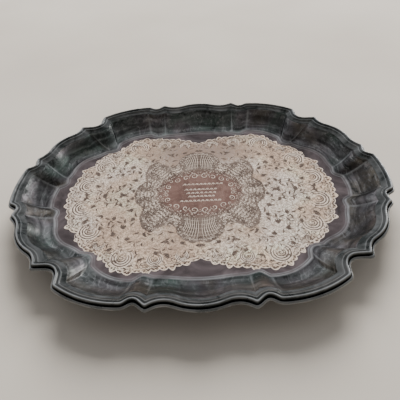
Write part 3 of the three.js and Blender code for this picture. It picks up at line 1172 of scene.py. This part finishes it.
def engrave_foliage():
    """Sprays over the ground, tufts of feathery leaves between them, and close work by the lace."""
    for start, end, rise in SPRAYS:
        engrave_spray(dark_cuts, fine_cuts, start, end, rise, size=1.0, spacing=6)
    for p in scattered(WELL_CORNER, on_ground, spacing=15, tries=2600):
        lean = draw.uniform(0, 2 * math.pi)
        for spread in TUFT_LEANS:
            heading = cmath.exp(1j * (lean + spread))
            base = p + heading * draw.uniform(0.0, 1.2)
            leaf(dark_cuts, base, heading, draw.uniform(3.5, 6.5), draw.uniform(1.5, 2.4), 0.4)
    for p in scattered(WELL_CORNER, by_lace, spacing=3.2, tries=5200):
        heading = cmath.exp(1j * draw.uniform(0, 2 * math.pi))
        length = draw.uniform(1.6, 4.0)
        width = draw.uniform(1.0, 2.2)
        leaf(dark_cuts, p, heading, length, width, draw.uniform(-0.5, 0.5))
    points = scattered(WELL_CORNER, on_ground, spacing=4.6, tries=3200)
    engrave_curls(
        fine_cuts, points, radii=(1.8, 4.2), turns=(0.4, 1.0), inner=0.4, steps=13,
        widths=(0.45, 0.7),
    )


# Oval panels of lattice by the lace: centre, half width, half height, lean in degrees.
LATTICES = [
    (89 + 87j, 7, 4.5, -40),
    (50 + 98j, 8, 4, 2),
    (124 + 58j, 4.5, 6, 10),
    (139 + 31j, 4, 5, 5),
]
RIM_STEPS = 28
LATTICE_SPACING = 1.9
LATTICE_SLANT = 0.7
LATTICE_STEPS = 6  # along each of its lines


def engrave_lattices():
    """Fine crossed lines in oval panels, each with a dark rim and a bright line inside that."""
    for centre, wide, high, lean in LATTICES:
        turn = cmath.exp(1j * math.radians(lean))
        angles = [2 * math.pi * i / RIM_STEPS for i in range(RIM_STEPS + 1)]
        rim = [centre + turn * complex(wide * math.cos(a), high * math.sin(a)) for a in angles]
        dark_cuts.four(rim, 1.1, swell=0)
        edge_cuts.four([centre + (p - centre) * 0.86 for p in rim], 0.5, swell=0)
        count = int(wide / 1.6)
        for k in range(-count, count + 1):
            for slope in (1, -1):
                line = []
                for i in range(LATTICE_STEPS + 1):
                    y = high * 0.8 * (i / (LATTICE_STEPS / 2) - 1)
                    p = complex(k * LATTICE_SPACING + slope * y * LATTICE_SLANT, y)
                    if (p.real / wide) ** 2 + (p.imag / high) ** 2 < 0.7:
                        line.append(centre + turn * p)
                if len(line) > 2:
                    fine_cuts.four(line, 0.45, swell=0.2)


RAYS = 58  # short fine lines that run out from a quarter of the medallion
SPRAY_ANGLES = (3, 14, 25, 35, 44, 53, 63)  # degrees round the medallion
FAN_RIBS = 9  # in each half of a fan
FAN_FOOT = 40  # from the middle of the well to the edge of a fan that is nearest to it
FAN_KEPT_FREE = (16, 38, 66)  # half the width, the near end and the far end, clear of small curls
FAN_BANDS = ((41, 14), (46, 16), (51, 18), (56, 19), (61, 18), (66, 15))  # place, half width
RIB_SHADOW = 0.85  # from a bright rib to the brown one beside it


def medallion_reach(angle):
    """The point on the medallion's edge in a direction from the middle."""
    reach = 30.0
    while inside(cmath.rect(reach, angle), medallion_outline):
        reach += 0.5
    return cmath.rect(reach, angle)


def beside_fans(p):
    """Whether the point is on the medallion, away from its edge, its middle and its fans."""
    half_width, near, far = FAN_KEPT_FREE
    in_fan = abs(p.real) < half_width and near < p.imag < far
    return inside(p * 1.04, medallion_outline) and not in_centre(p) and not in_fan


def engrave_medallion():
    """Fine bright sprays and scrolls on the dark medallion, and rays out from it."""
    for number, degrees in enumerate(SPRAY_ANGLES):
        angle = math.radians(degrees)
        start = complex(46 * math.cos(angle), 40 * math.sin(angle))
        end = start + (medallion_reach(angle) - start) * 0.86
        rise = 2.2 if number % 2 else -2.2
        engrave_spray(bright_cuts, bright_cuts, start, end, rise, size=0.55, spacing=2)
    points = scattered(MEDALLION_CORNER, beside_fans, spacing=3.1, tries=3600)
    engrave_curls(
        bright_cuts, points, radii=(1.1, 2.6), turns=(0.5, 1.3), inner=0.2, steps=12,
        widths=(0.4, 0.75),
    )
    for p in scattered(MEDALLION_CORNER + (2 + 2j), beside_fans, spacing=2.8, tries=3600):
        turns = draw.choice((-1, 1)) * draw.uniform(0.4, 0.9)
        brown_cuts.four(spiral(p, draw.uniform(1.0, 2.2), draw.uniform(0, 360), turns, 0.3, 11), 0.7)
    for k in range(RAYS):
        angle = math.pi / 2 * (k + 0.5) / RAYS
        edge = medallion_reach(angle)
        out = cmath.rect(1, angle + draw.uniform(-0.25, 0.25))
        start = edge - out * draw.uniform(0, 5)
        fine_cuts.four(bow(start, edge + out * draw.uniform(4, 13), draw.uniform(-1, 1), 5), 0.8)


def engrave_fans():
    """A fan of curved ribs at the back and the front of the medallion, with bands across it."""
    for k in range(FAN_RIBS):
        lean = math.radians(4 + 9.5 * k)
        foot = complex(1.2 + 1.7 * k, FAN_FOOT - 0.35 * k)
        tip = FAN_FOOT * 1j + cmath.rect(32 - 0.9 * k, math.pi / 2 - lean * 0.62)
        bright_cuts.four(bow(foot, tip, 1.8, 10), 0.6, swell=0.4)
        brown_cuts.four(bow(foot + RIB_SHADOW, tip + RIB_SHADOW, 1.8, 10), 0.7, swell=0.4)
        bright_cuts.four(spiral(tip - 1.4, 1.4, 0, 0.9), 0.5)
    for height, reach in FAN_BANDS:
        band = bow(complex(0, height + 3), complex(reach, height - 1), 1.2, 9)
        bright_cuts.four(band, 0.45, swell=0.3)


CENTRE_SCROLLS = [  # centre, radius, the angle at which it starts, and its turns
    (35 + 10.5j, 4.2, 120, -1.4),
    (36.5 + 2.6j, 2.8, 250, 1.2),
    (26 + 21j, 4.6, 60, 1.3),
    (15.5 + 24.5j, 4.2, 200, -1.3),
    (6.2 + 27.5j, 5.6, 330, 1.5),
    (33 + 19j, 3.0, 20, 1.0),
]


def engrave_centre_ring():
    """Pairs of a bright and a brown scroll round the plain middle."""
    for centre, radius, start, turns in CENTRE_SCROLLS:
        bright_cuts.four(spiral(centre, radius, start, turns, steps_per_turn=18), 1.0)
        brown_cuts.four(spiral(centre, radius * 0.82, start + 30, turns * 0.8, 0.2, 16), 0.6)


FLOURISH_ROWS = [  # height, left end and right end of each row
    (13, -19, 27),
    (4.3, -17, 20),
    (-1.4, -15, 19),
    (-7, -13, 17),
    (-13.9, -22, 24),
]
WAVE = 4.6  # the length of one scroll of a running wave


def engrave_flourishes():
    """Five rows of the same running wave scroll, which is an ornament and spells nothing."""
    for height, left, right in FLOURISH_ROWS:
        count = round((right - left) / WAVE)
        step = (right - left) / count
        for k in range(count):
            x = left + step * (k + 0.5)
            curl = spiral(complex(x + 0.4, height + 0.2), 1.5, 180, -1.25, 0.2, 12)
            run_in = bow(complex(x - step * 0.62, height - 1.2), curl[0], -0.25, 4)
            bright_cuts.stroke(run_in[:-1] + curl, 0.85, swell=0.35)


engrave_edge()
engrave_scrolls()
engrave_foliage()
engrave_lattices()
engrave_medallion()
engrave_fans()
engrave_centre_ring()
engrave_flourishes()
dark_cuts.make("engraving_dark_cuts", DARK_CUT)
fine_cuts.make("engraving_fine_cuts", FINE_CUT)
edge_cuts.make("engraving_edge_cuts", BRIGHT_CUT)
bright_cuts.make("engraving_bright_cuts", BRIGHT_CUT)
brown_cuts.make("engraving_brown_cuts", BROWN_CUT)

# ------ studio

FLOOR_REACH = 30.0
SKY = [(0.42, (0.22, 0.21, 0.2)), (0.95, (0.75, 0.77, 0.8))]  # from the front to the back
SKY_STRENGTH = 1.35
KEY_COLOR = (1.0, 0.985, 0.955)
SIDE_COLOR = (1.0, 0.99, 0.97)


def make_floor():
    corners = [(x * FLOOR_REACH, y * FLOOR_REACH, 0) for x, y in ((-1, -1), (1, -1), (1, 1), (-1, 1))]
    mesh = bpy.data.meshes.new("floor")
    mesh.from_pydata(corners, [], [(0, 1, 2, 3)])
    floor = bpy.data.objects.new("floor", mesh)
    scene.collection.objects.link(floor)
    s = Shader("floor_pale", 0.0)
    color = s.ramp(s.noise(260, 2), [(0.3, (0.5, 0.455, 0.4)), (0.7, (0.56, 0.515, 0.455))])
    rough = s.ramp(s.noise(2, 2), [(0.3, 0.85), (0.7, 0.95)])
    mesh.materials.append(s.finish(color, rough, s.bump(s.noise(1.0, 2), 0.02)))


def soft_light(name, place, size, power, color, mirrored):
    """A soft panel aimed at the salver, whose highlight shows in the metal when mirrored."""
    data = bpy.data.lights.new(name, "AREA")
    data.shape = "RECTANGLE"
    data.size, data.size_y = size
    data.energy = power
    data.color = color
    light = bpy.data.objects.new(name, data)
    light.location = place
    light.visible_glossy = mirrored
    light.visible_camera = False
    light.rotation_mode = "QUATERNION"
    light.rotation_quaternion = (-Vector(place)).to_track_quat("-Z", "Y")
    scene.collection.objects.link(light)


def make_world():
    """A dim soft room, paler towards the horizon behind the salver."""
    world = bpy.data.worlds.new("studio")
    scene.world = world
    world.use_nodes = True
    w = Nodes(world.node_tree)
    place = w.node("ShaderNodeTexCoord").outputs["Generated"]
    split = w.node("ShaderNodeSeparateXYZ", {"Vector": place})
    back = w.node("ShaderNodeMapRange", {"Value": split.outputs["Y"], "From Min": -1})
    background = w.tree.nodes["Background"]
    w.feed(background.inputs["Color"], w.ramp(back.outputs["Result"], SKY))
    background.inputs["Strength"].default_value = SKY_STRENGTH


make_floor()
make_world()
soft_light("key", (0.45, 4.05, 2.85), (3.0, 2.2), power=600, color=KEY_COLOR, mirrored=False)
soft_light("side", (1.37, 1.15, 0.24), (1.1, 0.42), power=10, color=SIDE_COLOR, mirrored=True)
